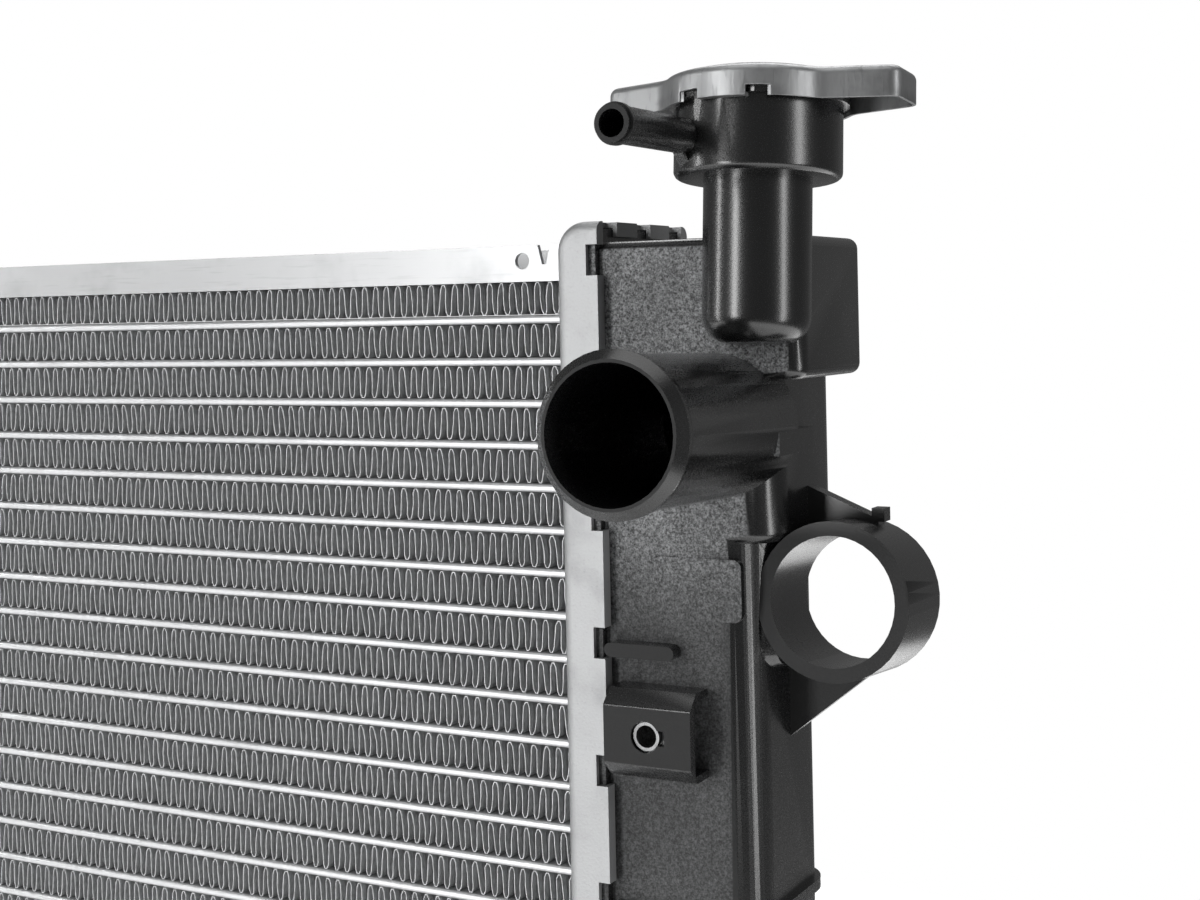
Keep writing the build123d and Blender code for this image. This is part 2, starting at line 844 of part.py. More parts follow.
with BuildPart() as clip_nut_right:
    add(clip_nut(pad_x, pad_level))

clip_nut_right.part.label = "clip_nut_right"
export_step(clip_nut_right.part, "parts/clip_nut_right.step")

with BuildPart() as clip_nuts_left:
    add(clip_nut(pad_x, tube_high - left_pad_drop).mirror(Plane.YZ))
    add(clip_nut(pad_x, core_middle).mirror(Plane.YZ))

clip_nuts_left.part.label = "clip_nuts_left"
export_step(clip_nuts_left.part, "parts/clip_nuts_left.step")

# ---- pressure cap -----------------------------------------------------------------------------------
# Heights in the cap are measured up the neck's axis from the collar's underside.
seal_top = collar_height + top_seal_height
shell_under = seal_top + diaphragm_sheet
shell_top = shell_under + cap_sheet
shell_bore = flange_radius + cap_radial_gap
shell_radius = shell_bore + cap_sheet
skirt_bottom = shell_top - cap_skirt
lug_tip = collar_radius + cap_radial_gap
valve_bottom = collar_floor + seat_height
top_seal_inner = collar_radius - top_seal_width
valve_gasket_radius = collar_bore - valve_side_gap
valve_cup_radius = valve_gasket_radius + valve_cup_gap
plate_bottom = valve_bottom + valve_gasket_height
plate_top = plate_bottom + valve_sheet

with BuildPart() as cap_shell:
    # pressed dish with two grip ears, open underneath
    ear_length = ear_span / 2
    with BuildSketch(neck_plane.offset(skirt_bottom)) as dish_outline:
        Circle(shell_radius)
        with BuildLine():
            Polyline(
                (-ear_length, -ear_tip_width / 2),
                (0, -ear_width / 2 - ear_tip_radius),
                (ear_length, -ear_tip_width / 2),
                (ear_length, ear_tip_width / 2),
                (0, ear_width / 2 + ear_tip_radius),
                (-ear_length, ear_tip_width / 2),
                close=True,
            )
        make_face()
        corners = dish_outline.vertices().group_by(Axis.X)
        fillet(corners[0] + corners[-1], ear_tip_radius)
        roots = dish_outline.vertices().filter_by(
            lambda corner: abs(math.hypot(*tuple(corner)[:2]) - shell_radius) < 0.01
        )
        fillet(roots, ear_root_radius)
    extrude(amount=cap_skirt)
    fillet(cap_shell.faces().sort_by(Axis.Z)[-1].edges(), shell_round)
    offset(amount=-cap_sheet, openings=cap_shell.faces().sort_by(Axis.Z)[0])
    # gaps in the skirt beside the bent lock lugs
    with BuildSketch(neck_plane.offset(skirt_bottom)):
        for side in (-1, 1):
            with Locations(
                (lug_width / 2 + skirt_gap_width / 2, side * shell_radius),
                (-lug_width / 2 - skirt_gap_width / 2, side * shell_radius),
            ):
                Rectangle(skirt_gap_width, 8 * cap_sheet)
    extrude(amount=skirt_gap_height, mode=Mode.SUBTRACT)
    with BuildSketch(neck_plane.offset(skirt_bottom)):
        Circle(shell_radius)
        Circle(lug_tip, mode=Mode.SUBTRACT)
        Rectangle(lug_width, 3 * shell_radius, mode=Mode.INTERSECT)
    extrude(amount=cap_sheet)
    with BuildSketch(neck_plane.offset(shell_under)):
        Circle(rivet_radius + sliding_gap)
    extrude(amount=cap_sheet, mode=Mode.SUBTRACT)

cap_shell.part.label = "cap_shell"
export_step(cap_shell.part, "parts/cap_shell.step")

with BuildPart() as cap_cover:
    with BuildSketch(neck_plane.offset(shell_top)):
        Circle(collar_radius - cover_inset)
        Circle(rivet_head + sliding_gap, mode=Mode.SUBTRACT)
    extrude(amount=cover_height)
    chamfer(cap_cover.edges().filter_by(GeomType.CIRCLE).group_by(SortBy.RADIUS)[-1], 0.3)

cap_cover.part.label = "cap_cover"
export_step(cap_cover.part, "parts/cap_cover.step")

bell_bottom = seal_top - bell_height

with BuildPart() as cap_rivet:
    with BuildSketch(neck_plane.offset(seal_top - bell_sheet - cap_sheet)):
        Circle(rivet_radius)
    extrude(amount=shell_top - seal_top + bell_sheet + cap_sheet + sliding_gap)
    with BuildSketch(neck_plane.offset(shell_top + sliding_gap)):
        Circle(rivet_head)
    extrude(amount=rivet_head_height)
    with BuildSketch(neck_plane.offset(seal_top - bell_sheet - 2 * cap_sheet)):
        Circle(rivet_head)
    extrude(amount=cap_sheet)

cap_rivet.part.label = "cap_rivet"
export_step(cap_rivet.part, "parts/cap_rivet.step")

with BuildPart() as cap_diaphragm:
    with BuildSketch(neck_plane.offset(seal_top)):
        Circle(collar_radius)
        Circle(rivet_radius, mode=Mode.SUBTRACT)
    extrude(amount=diaphragm_sheet - sliding_gap / 3)

cap_diaphragm.part.label = "cap_diaphragm"
export_step(cap_diaphragm.part, "parts/cap_diaphragm.step")

with BuildPart() as cap_top_seal:
    with BuildSketch(neck_plane.offset(collar_height + sliding_gap / 3)):
        Circle(collar_radius)
        Circle(top_seal_inner, mode=Mode.SUBTRACT)
    extrude(amount=top_seal_height - sliding_gap / 3)

cap_top_seal.part.label = "cap_top_seal"
export_step(cap_top_seal.part, "parts/cap_top_seal.step")

with BuildPart() as cap_bell:
    with BuildSketch(neck_plane.offset(seal_top - bell_sheet)):
        Circle(top_seal_inner - sliding_gap)
        Circle(rivet_radius, mode=Mode.SUBTRACT)
    extrude(amount=bell_sheet)
    with BuildSketch(neck_plane.offset(bell_bottom)):
        Circle(bell_radius)
        Circle(bell_radius - bell_sheet, mode=Mode.SUBTRACT)
    extrude(amount=bell_height)

cap_bell.part.label = "cap_bell"
export_step(cap_bell.part, "parts/cap_bell.step")

spring_low = plate_top + spring_wire / 2
spring_high = seal_top - bell_sheet - spring_wire / 2


def coil(base, radius, wire, rise, turns):
    """Round-wire helical spring standing on a plane."""
    with BuildPart() as body:
        with BuildLine(base) as path:
            Helix(rise / turns, rise, radius)
        with BuildSketch(Plane(origin=path.line @ 0, z_dir=path.line % 0)):
            Circle(wire / 2)
        sweep(path=path.line, is_frenet=True)
    return body.part


with BuildPart() as pressure_spring:
    add(coil(neck_plane.offset(spring_low), spring_radius, spring_wire, spring_high - spring_low, spring_turns))

pressure_spring.part.label = "pressure_spring"
export_step(pressure_spring.part, "parts/pressure_spring.step")

with BuildPart() as pressure_gasket:
    with BuildSketch(neck_plane.offset(valve_bottom)):
        Circle(valve_gasket_radius)
        Circle(valve_gasket_inner, mode=Mode.SUBTRACT)
    extrude(amount=valve_gasket_height)

pressure_gasket.part.label = "pressure_gasket"
export_step(pressure_gasket.part, "parts/pressure_gasket.step")

with BuildPart() as pressure_plate:
    with BuildSketch(neck_plane.offset(plate_bottom)):
        Circle(valve_cup_radius + valve_sheet)
        Circle(vacuum_hole, mode=Mode.SUBTRACT)
    extrude(amount=valve_sheet)
    with BuildSketch(neck_plane.offset(plate_bottom - valve_cup_skirt)):
        Circle(valve_cup_radius + valve_sheet)
        Circle(valve_cup_radius, mode=Mode.SUBTRACT)
    extrude(amount=valve_cup_skirt)
    with BuildSketch(neck_plane.offset(plate_top)):
        Circle(bell_radius - bell_sheet - sliding_gap)
        Circle(bell_radius - bell_sheet - sliding_gap - valve_sheet, mode=Mode.SUBTRACT)
    extrude(amount=valve_sleeve_height)

pressure_plate.part.label = "pressure_plate"
export_step(pressure_plate.part, "parts/pressure_plate.step")

vacuum_top = plate_bottom - sliding_gap / 3
vacuum_tip = plate_top + vacuum_spring_wire + vacuum_rise

with BuildPart() as vacuum_valve:
    with BuildSketch(neck_plane.offset(vacuum_top - vacuum_sheet)):
        Circle(vacuum_radius)
    extrude(amount=vacuum_sheet)
    with BuildSketch(neck_plane.offset(vacuum_top)):
        Circle(vacuum_stem)
    extrude(amount=vacuum_tip - vacuum_top)
    with BuildSketch(neck_plane.offset(vacuum_tip)):
        Circle(vacuum_spring_radius + vacuum_spring_wire)
    extrude(amount=vacuum_sheet)

vacuum_valve.part.label = "vacuum_valve"
export_step(vacuum_valve.part, "parts/vacuum_valve.step")

small_low = plate_top + vacuum_spring_wire / 2
small_rise = vacuum_tip - plate_top - vacuum_spring_wire

with BuildPart() as vacuum_spring:
    add(
        coil(
            neck_plane.offset(small_low),
            vacuum_spring_radius + vacuum_spring_gap,
            vacuum_spring_wire,
            small_rise,
            vacuum_spring_turns,
        )
    )

vacuum_spring.part.label = "vacuum_spring"
export_step(vacuum_spring.part, "parts/vacuum_spring.step")

# ---- drain cock -------------------------------------------------------------------------------------
stem_length = drain_boss_stand + drain_seal_wire
seal_depth = stem_length - 2 * drain_seal_wire

with BuildPart() as drain_cock:
    with BuildSketch(drain_plane.offset(-drain_head_gap)):
        Circle(drain_stem_radius)
    extrude(amount=seal_depth + drain_head_gap)
    with BuildSketch(drain_plane.offset(seal_depth)):
        Circle(drain_seal_seat)
    extrude(amount=2 * drain_seal_wire)
    with BuildSketch(drain_plane.offset(seal_depth + drain_seal_wire + drain_head_gap)):
        Circle(drain_stem_radius)
    extrude(amount=drain_seal_wire)
    with BuildSketch(drain_plane.offset(-drain_head_gap)):
        Circle(drain_head_radius)
    extrude(amount=-drain_head_height)
    with BuildSketch(drain_plane.offset(-drain_head_gap - drain_head_height)):
        RectangleRounded(2 * drain_head_radius, drain_wing_sheet, drain_wing_sheet / 2 - 0.1)
    extrude(amount=-drain_wing_height)

drain_cock.part.label = "drain_cock"
export_step(drain_cock.part, "parts/drain_cock.step")

with BuildPart() as drain_seal:
    with BuildSketch(drain_plane.offset(seal_depth + drain_head_gap / 4)):
        Circle(drain_seal_radius)
        Circle(drain_seal_seat + sliding_gap / 3, mode=Mode.SUBTRACT)
    extrude(amount=drain_seal_wire)

drain_seal.part.label = "drain_seal"
export_step(drain_seal.part, "parts/drain_seal.step")
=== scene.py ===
"""Looks of the cross-flow radiator: fine fin ribbons, softened mouldings and pressings, finishes and studio.

Lengths are in metres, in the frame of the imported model: +X along the tubes towards the inlet tank,
+Y away from the hose spigots, +Z up.
"""

from __future__ import annotations

import logging
import math
from dataclasses import dataclass, field
from enum import Enum
from typing import Any, Iterable, Union

import bpy
from mathutils import Matrix, Vector

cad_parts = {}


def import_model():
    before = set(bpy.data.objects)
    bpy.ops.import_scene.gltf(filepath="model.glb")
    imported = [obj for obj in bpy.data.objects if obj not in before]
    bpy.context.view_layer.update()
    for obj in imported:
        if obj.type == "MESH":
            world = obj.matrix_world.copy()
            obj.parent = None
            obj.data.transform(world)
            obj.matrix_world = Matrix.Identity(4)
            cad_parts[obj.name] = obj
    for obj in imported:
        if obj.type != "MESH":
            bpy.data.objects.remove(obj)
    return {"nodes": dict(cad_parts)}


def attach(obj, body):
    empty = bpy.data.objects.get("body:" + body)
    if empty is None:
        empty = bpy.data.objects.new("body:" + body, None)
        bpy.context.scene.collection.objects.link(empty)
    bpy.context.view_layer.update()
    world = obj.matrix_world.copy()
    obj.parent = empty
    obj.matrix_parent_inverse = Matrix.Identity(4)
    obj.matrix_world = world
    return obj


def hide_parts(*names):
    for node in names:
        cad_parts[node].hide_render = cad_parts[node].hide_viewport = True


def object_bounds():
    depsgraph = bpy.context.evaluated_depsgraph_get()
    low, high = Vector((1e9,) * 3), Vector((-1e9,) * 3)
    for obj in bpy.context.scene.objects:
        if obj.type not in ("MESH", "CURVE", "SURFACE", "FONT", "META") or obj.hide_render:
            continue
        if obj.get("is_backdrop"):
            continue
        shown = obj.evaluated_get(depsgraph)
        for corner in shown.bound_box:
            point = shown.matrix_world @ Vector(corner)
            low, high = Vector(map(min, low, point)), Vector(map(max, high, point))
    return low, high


MM = 0.001
MERGE_REACH = 0.002 * MM
FLAT_DEGREES = 0.4
ROUNDING_SEGMENTS = 2
log = logging.getLogger("radiator")

Number = Union[int, float]
Triple = tuple[float, float, float]


class Body(Enum):
    """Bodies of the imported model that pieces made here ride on."""

    RADIATOR = "radiator"
    CAP_HANDLE = "cap_handle"


class Slot(Enum):
    """Names of material slots that the softened parts carry."""

    FINS = "fin_aluminium"
    PLATES = "plate_aluminium"
    HEADERS = "header_aluminium"
    TANKS = "tank_nylon"
    CAP = "cap_steel"


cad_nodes: dict[str, bpy.types.Object] = {}


# ---- modelling steps -------------------------------------------------------------------------------


def deselect_all() -> None:
    """Leaves nothing selected."""
    if bpy.context.object and bpy.context.object.mode != "OBJECT":
        bpy.ops.object.mode_set(mode="OBJECT")
    bpy.ops.object.select_all(action="DESELECT")


def pick(piece: bpy.types.Object) -> None:
    """Makes one object the only selected and the active one.

    Args:
        piece: The object to work on.
    """
    deselect_all()
    piece.select_set(True)
    bpy.context.view_layer.objects.active = piece


def edit(piece: bpy.types.Object) -> None:
    """Enters edit mode on one object, with all of its mesh selected.

    Args:
        piece: The object to edit.
    """
    pick(piece)
    bpy.ops.object.mode_set(mode="EDIT")
    bpy.ops.mesh.select_all(action="SELECT")


def done() -> None:
    """Leaves edit mode."""
    bpy.ops.object.mode_set(mode="OBJECT")


def settle(piece: bpy.types.Object) -> None:
    """Moves an object's place, turn and scale into its mesh.

    Args:
        piece: The object whose transform is applied.
    """
    pick(piece)
    bpy.ops.object.transform_apply(location=True, rotation=True, scale=True)


def modify(piece: bpy.types.Object, kind: str, **settings: Any) -> None:
    """Adds one modifier and applies it at once.

    Args:
        piece: The object that gets the modifier.
        kind: The modifier's type.
        settings: The modifier's own properties.
    """
    pick(piece)
    modifier = piece.modifiers.new(kind.title(), kind)
    for name, value in settings.items():
        setattr(modifier, name, value)
    bpy.ops.object.modifier_apply(modifier=modifier.name)


def smooth(piece: bpy.types.Object, degrees: float) -> None:
    """Shades an object smooth up to an angle.

    Args:
        piece: The object to shade.
        degrees: Edges sharper than this stay sharp.
    """
    pick(piece)
    bpy.ops.object.shade_smooth_by_angle(angle=math.radians(degrees))


def join(pieces: list[bpy.types.Object], name: str) -> bpy.types.Object:
    """Joins several objects into the first one.

    Args:
        pieces: The objects to join.
        name: The joined object's name.

    Returns:
        The joined object.
    """
    pick(pieces[0])
    for piece in pieces[1:]:
        piece.select_set(True)
    bpy.ops.object.join()
    pieces[0].name = name
    return pieces[0]


def softened(node: str, width: float, degrees: float) -> bpy.types.Object:
    """Copies a CAD node, merges its triangles into faces and rounds its sharp edges.

    Args:
        node: The CAD node to copy.
        width: How far the rounding reaches from an edge.
        degrees: Edges flatter than this are left alone.

    Returns:
        The new object, which stands for the node.
    """
    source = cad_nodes[node]
    piece = bpy.data.objects.new(node + "_soft", source.data.copy())
    bpy.context.scene.collection.objects.link(piece)
    edit(piece)
    bpy.ops.mesh.remove_doubles(threshold=MERGE_REACH)
    bpy.ops.mesh.dissolve_limited(angle_limit=math.radians(FLAT_DEGREES))
    done()
    smooth(piece, degrees)
    modify(
        piece,
        "BEVEL",
        width=width,
        segments=ROUNDING_SEGMENTS,
        limit_method="ANGLE",
        angle_limit=math.radians(degrees),
        use_clamp_overlap=True,
        harden_normals=True,
        miter_outer="MITER_ARC",
    )
    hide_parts(node)
    return piece


# ---- shader maths -----------------------------------------------------------------------------------


class Signal:
    """One output socket of a shader node, with arithmetic that adds the nodes it needs."""

    def __init__(self, graph: "Graph", socket: bpy.types.NodeSocket) -> None:
        """Wraps a socket.

        Args:
            graph: The node graph that the socket belongs to.
            socket: The output socket.
        """
        self.graph = graph
        self.socket = socket

    def _math(self, operation: str, *values: "Value") -> "Signal":
        """Adds one Math node.

        Args:
            operation: The node's operation.
            values: What its sockets take, in order.

        Returns:
            The node's result.
        """
        inputs = dict(enumerate(values))
        return self.graph.node("ShaderNodeMath", {"operation": operation}, inputs).out()

    def __add__(self, other: "Value") -> "Signal":
        """Sum."""
        return self._math("ADD", self, other)

    def __radd__(self, other: "Value") -> "Signal":
        """Sum, with the number first."""
        return self._math("ADD", other, self)

    def __sub__(self, other: "Value") -> "Signal":
        """Difference."""
        return self._math("SUBTRACT", self, other)

    def __rsub__(self, other: "Value") -> "Signal":
        """Difference, with the number first."""
        return self._math("SUBTRACT", other, self)

    def __mul__(self, other: "Value") -> "Signal":
        """Product."""
        return self._math("MULTIPLY", self, other)

    def __rmul__(self, other: "Value") -> "Signal":
        """Product, with the number first."""
        return self._math("MULTIPLY", other, self)

    def __truediv__(self, other: "Value") -> "Signal":
        """Quotient."""
        return self._math("DIVIDE", self, other)

    def fraction(self) -> "Signal":
        """The part after the decimal point."""
        return self._math("FRACT", self)

    def size(self) -> "Signal":
        """The value without its sign."""
        return self._math("ABSOLUTE", self)

    def step(self, low: float, high: float) -> "Signal":
        """A smooth step from 0 to 1.

        Args:
            low: Where the step starts.
            high: Where it ends; below low, the step falls.

        Returns:
            The stepped value.
        """
        settings = {"interpolation_type": "SMOOTHSTEP"}
        inputs = {"Value": self, "From Min": low, "From Max": high}
        return self.graph.node("ShaderNodeMapRange", settings, inputs).out()


Value = Union[Signal, Number, Triple, tuple[float, float, float, float]]


class Step:
    """One shader node that was added to a graph."""

    def __init__(self, graph: "Graph", node: bpy.types.Node) -> None:
        """Wraps a node.

        Args:
            graph: The graph it belongs to.
            node: The node.
        """
        self.graph = graph
        self.node = node

    def out(self, name: Union[int, str] = 0) -> Signal:
        """One output of the node.

        Args:
            name: The output's index, name or identifier.

        Returns:
            The wrapped output.
        """
        if isinstance(name, int):
            return Signal(self.graph, self.node.outputs[name])
        for socket in self.node.outputs:
            if name in (socket.identifier, socket.name):
                return Signal(self.graph, socket)
        raise KeyError(name)


class Graph:
    """The nodes of one material."""

    def __init__(self, name: str) -> None:
        """Starts an empty material.

        Args:
            name: The material's name.
        """
        self.material = bpy.data.materials.new(name)
        self.material.use_nodes = True
        self.tree = self.material.node_tree
        self.tree.nodes.clear()

    def node(self, kind: str, settings: dict[str, Any], inputs: dict[Any, Value]) -> Step:
        """Adds any node.

        Args:
            kind: The node's type.
            settings: The node's own properties.
            inputs: Values or signals by the socket's index, name or identifier.

        Returns:
            The node, wrapped.
        """
        node = self.tree.nodes.new(kind)
        for name, value in settings.items():
            setattr(node, name, value)
        for key, value in inputs.items():
            socket = self._socket(node, key)
            if isinstance(value, Signal):
                self.tree.links.new(value.socket, socket)
            else:
                socket.default_value = value
        return Step(self, node)

    @staticmethod
    def _socket(node: bpy.types.Node, key: Union[int, str]) -> bpy.types.NodeSocket:
        """Finds an input socket by index, identifier or name."""
        if isinstance(key, int):
            return node.inputs[key]
        by_identifier = [s for s in node.inputs if s.identifier == key]
        by_name = [s for s in node.inputs if s.name == key and s.enabled]
        return (by_identifier or by_name)[0]

    def place(self) -> Signal:
        """The point in the object's own frame."""
        return self.node("ShaderNodeTexCoord", {}, {}).out("Object")

    def facing(self) -> tuple[Signal, Signal, Signal]:
        """The three parts of the surface's own direction."""
        normal = self.node("ShaderNodeTexCoord", {}, {}).out("Normal")
        return self.split(normal)

    def split(self, vector: Signal) -> tuple[Signal, Signal, Signal]:
        """Splits a vector.

        Args:
            vector: The vector.

        Returns:
            Its X, Y and Z.
        """
        parts = self.node("ShaderNodeSeparateXYZ", {}, {0: vector})
        return parts.out(0), parts.out(1), parts.out(2)

    def stretched(self, scale: Triple) -> Signal:
        """The object's point with each axis scaled.

        Args:
            scale: Factors for X, Y and Z.

        Returns:
            The scaled point.
        """
        return self.node("ShaderNodeMapping", {}, {"Vector": self.place(), "Scale": scale}).out()

    def noise(self, scale: float, detail: float = 3.0, along: Triple = (1.0, 1.0, 1.0)) -> Signal:
        """Soft noise around one half.

        Args:
            scale: Grains per metre.
            detail: Octaves.
            along: Stretch of the axes.

        Returns:
            The noise value.
        """
        inputs = {"Vector": self.stretched(along), "Scale": scale, "Detail": detail}
        return self.node("ShaderNodeTexNoise", {}, inputs).out("Fac")

    def blend(self, amount: Value, low: Value, high: Value) -> Signal:
        """Mixes two colours.

        Args:
            amount: The share of the second.
            low: The first colour.
            high: The second colour.

        Returns:
            The mixed colour.
        """
        settings = {"data_type": "RGBA"}
        inputs = {"Factor_Float": amount, "A_Color": low, "B_Color": high}
        return self.node("ShaderNodeMix", settings, inputs).out("Result_Color")

    def bump(self, height: Signal, depth: float, strength: float = 1.0) -> Signal:
        """Turns a height into a normal.

        Args:
            height: The height, 0 to 1.
            depth: What a height of 1 stands for, in metres.
            strength: The share of the effect.

        Returns:
            The bumped normal.
        """
        inputs = {"Height": height, "Distance": depth, "Strength": strength}
        return self.node("ShaderNodeBump", {}, inputs).out()

    def finish(self, inputs: dict[str, Value]) -> bpy.types.Material:
        """Adds the surface shader and the output.

        Args:
            inputs: What the surface shader's sockets take.

        Returns:
            The finished material.
        """
        shader = self.node("ShaderNodeBsdfPrincipled", {}, inputs)
        self.node("ShaderNodeOutputMaterial", {}, {"Surface": shader.out()})
        return self.material


def grey(level: float, cool: float = 0.0) -> tuple[float, float, float, float]:
    """A grey colour, slightly cool if asked.

    Args:
        level: How light it is.
        cool: How much blue is added and red is taken away.

    Returns:
        The colour.
    """
    return (level * (1.0 - cool), level, level * (1.0 + cool), 1.0)


# ---- finishes ---------------------------------------------------------------------------------------


@dataclass(frozen=True)
class Metal:
    """Bare sheet metal: drawn grain, blotches and worn spots.

    Args:
        name: The material's name.
        light: Grey of its clean areas.
        dark: Grey of its stains.
        rough_low: Roughness of its smoothest areas.
        rough_high: Roughness of its dullest areas.
        grain: Grains per metre.
        along: Stretch of the grain, smaller along the rolling direction.
        bump_depth: Height of the grain.
        blotch: Blotches per metre.
        metallic: How metallic the surface is.
        cool: How cool its grey is.
    """

    name: str
    light: float
    dark: float
    rough_low: float
    rough_high: float
    grain: float = 900.0
    along: Triple = (1.0, 1.0, 1.0)
    bump_depth: float = 0.03 * MM
    blotch: float = 60.0
    metallic: float = 1.0
    cool: float = 0.01

    def material(self) -> bpy.types.Material:
        """Builds the material."""
        graph = Graph(self.name)
        grain = graph.noise(self.grain, 4.0, self.along)
        blotch = graph.noise(self.blotch, 5.0)
        blotch_share = 0.6
        stain = blotch.step(0.52, 0.70) * blotch_share + grain.step(0.55, 0.75) * (1.0 - blotch_share)
        colour = graph.blend(stain, grey(self.light, self.cool), grey(self.dark, self.cool))
        rough = self.rough_low + (self.rough_high - self.rough_low) * (blotch * 0.5 + grain * 0.5)
        return graph.finish(
            {
                "Base Color": colour,
                "Metallic": self.metallic,
                "Roughness": rough,
                "Normal": graph.bump(grain + blotch * 0.4, self.bump_depth),
            }
        )


@dataclass(frozen=True)
class FinSheet:
    """Louvred fin ribbon: slats along the legs between a plain edge and the crests, with shade painted into
    the slits between the slats.

    Args:
        row_pitch: Height from one row to the next.
        row_bottom: Level of the lowest row's underside.
        fin_height: Height of one row.
        slat: Width of one slat.
        slat_reach: Half the slats' height.
        soft: Half the width over which a slat's end fades.
        edge: Half depth of the slatted area.
        edge_fade: Width over which the slatted area ends.
        slit_shade_share: How strongly the painted shade in the slits between the slats shows.
        clean: Grey of the bright sheet.
        dull: Grey of the dulled sheet.
        slit_shade_grey: Grey of the painted shade in the slits between the slats.
        dust: Dulled spots per metre.
        metallic: How metallic the sheet is.
        rough: Roughness of the clean sheet.
        ridge: Height of a slat's edge.
        cool: How cool its grey is.
    """

    row_pitch: float = 10 * MM
    row_bottom: float = 1.2 * MM
    fin_height: float = 8 * MM
    slat: float = 1.15 * MM
    slat_reach: float = 3.0 * MM
    soft: float = 0.15 * MM
    edge: float = 15.6 * MM
    edge_fade: float = 0.2 * MM
    slit_shade_share: float = 0.4
    clean: float = 0.62
    dull: float = 0.46
    slit_shade_grey: float = 0.2
    dust: float = 700.0
    metallic: float = 0.45
    rough: float = 0.42
    ridge: float = 0.25 * MM
    cool: float = 0.012

    def material(self) -> bpy.types.Material:
        """Builds the material."""
        graph = Graph("louvred_fin")
        _, depth, level = graph.split(graph.place())
        phase = ((level - self.row_bottom) / self.row_pitch).fraction() * self.row_pitch
        offset = (phase - self.fin_height / 2).size()
        between = offset.step(self.slat_reach + self.soft, self.slat_reach - self.soft)
        inside = between * depth.size().step(self.edge, self.edge - self.edge_fade)
        slat = (depth / self.slat).fraction()
        ridge = (slat - 0.5).size() * 2.0
        # Painted shade: the slits between the slats are drawn as dark lines, standing in for the shade
        # inside the openings.
        slit_shade = slat.step(0.72, 0.86) * inside
        dust = graph.noise(self.dust, 3.0)
        shade = graph.blend(dust.step(0.35, 0.75), grey(self.clean, self.cool), grey(self.dull, self.cool))
        colour = graph.blend(slit_shade * self.slit_shade_share, shade, grey(self.slit_shade_grey, 0.02))
        height = ridge * inside + dust * 0.2
        return graph.finish(
            {
                "Base Color": colour,
                "Metallic": self.metallic,
                "Roughness": self.rough + 0.2 * dust,
                "Normal": graph.bump(height, self.ridge, 0.4),
            }
        )


@dataclass(frozen=True)
class Nylon:
    """Glass-filled black nylon: smooth black on rounds; on the flat walls a grey speckle painted in as the
    soft box's reflection on the rough skin.

    Args:
        name: The material's name.
        base: Grey of the black.
        sheen_grey: Grey of the painted reflection on flat walls, broken into speckle by the grain.
        rough: Roughness of the smooth areas.
        flat_share: How strongly the flat walls show the painted speckled reflection.
        wall: Distance of the flat walls from the middle plane.
        neck_foot: Level under which every face that looks along Y is dull.
        foot_fade: Height over which that dullness sets in.
        sheen_fade: Height over which the painted reflection grows stronger towards the neck's foot.
        end_reach: Distance from the middle plane past which the spigots' end faces are dull.
        fine_grain: Fine fibre ends per metre.
        coarse_grain: Coarse fibre ends per metre.
        cloud: Cloudy areas per metre.
        scuff: Grey of scuffed spots.
        gloss: Strength of the smooth areas' skin.
        gloss_rough: Roughness of that skin.
        dull_rough: Roughness that a flat wall adds.
        grain_depth: Height of the moulded grain.
    """

    name: str = "tank_nylon_black"
    base: float = 0.006
    sheen_grey: float = 0.5
    rough: float = 0.22
    flat_share: float = 1.0
    wall: float = 20.3 * MM
    neck_foot: float = 415 * MM
    foot_fade: float = 15 * MM
    sheen_fade: float = 40 * MM
    end_reach: float = 52 * MM
    fine_grain: float = 2600.0
    coarse_grain: float = 1500.0
    cloud: float = 38.0
    scuff: float = 0.06
    gloss: float = 0.9
    gloss_rough: float = 0.22
    dull_rough: float = 0.42
    grain_depth: float = 0.16 * MM

    def material(self) -> bpy.types.Material:
        """Builds the material."""
        graph = Graph(self.name)
        _, toward, _ = graph.facing()
        _, depth, level = graph.split(graph.place())
        reach = depth.size()
        ahead = toward.size()
        past_wall = reach.step(self.wall - MM, self.wall - 0.4 * MM)
        before_pads = reach.step(self.wall + 3.6 * MM, self.wall + 3 * MM)
        wall = past_wall * before_pads * ahead.step(0.93, 0.97)
        low = level.step(self.neck_foot, self.neck_foot - self.foot_fade)
        ends = reach.step(self.end_reach, self.end_reach + 3 * MM)
        plain = (low + ends * (1.0 - low)) * ahead.step(0.93, 0.98)
        flat = wall + plain * (1.0 - wall)
        fine = graph.noise(self.fine_grain, 3.0)
        coarse = graph.noise(self.coarse_grain, 3.0)
        cloud = graph.noise(self.cloud, 4.0)
        grain = (fine * 0.5 + coarse * 0.5).step(0.30, 0.84)
        # Painted reflection: a grey speckle on the flat walls stands in for the soft box's sheen on the
        # rough skin. It grows stronger towards the neck's foot.
        sheen_speckle = grain * (0.7 + 0.3 * cloud.step(0.3, 0.65))
        upper = 0.28 + 0.72 * level.step(self.neck_foot - self.sheen_fade, self.neck_foot)
        amount = sheen_speckle * wall * upper * self.flat_share
        colour = graph.blend(amount, grey(self.base, 0.03), grey(self.sheen_grey, 0.02))
        scuff = cloud.step(0.56, 0.74) * fine.step(0.4, 0.7)
        colour = graph.blend(scuff * 0.35, colour, grey(self.scuff, 0.02))
        rough = self.rough + self.dull_rough * flat + 0.10 * fine
        height = fine * 0.45 + coarse * 0.55
        grainy = height * (0.35 + 0.65 * flat)
        return graph.finish(
            {
                "Base Color": colour,
                "Roughness": rough,
                "Specular IOR Level": 0.5,
                "Coat Weight": self.gloss * (1.0 - flat),
                "Coat Roughness": self.gloss_rough,
                "Normal": graph.bump(grainy, self.grain_depth, 0.6),
            }
        )


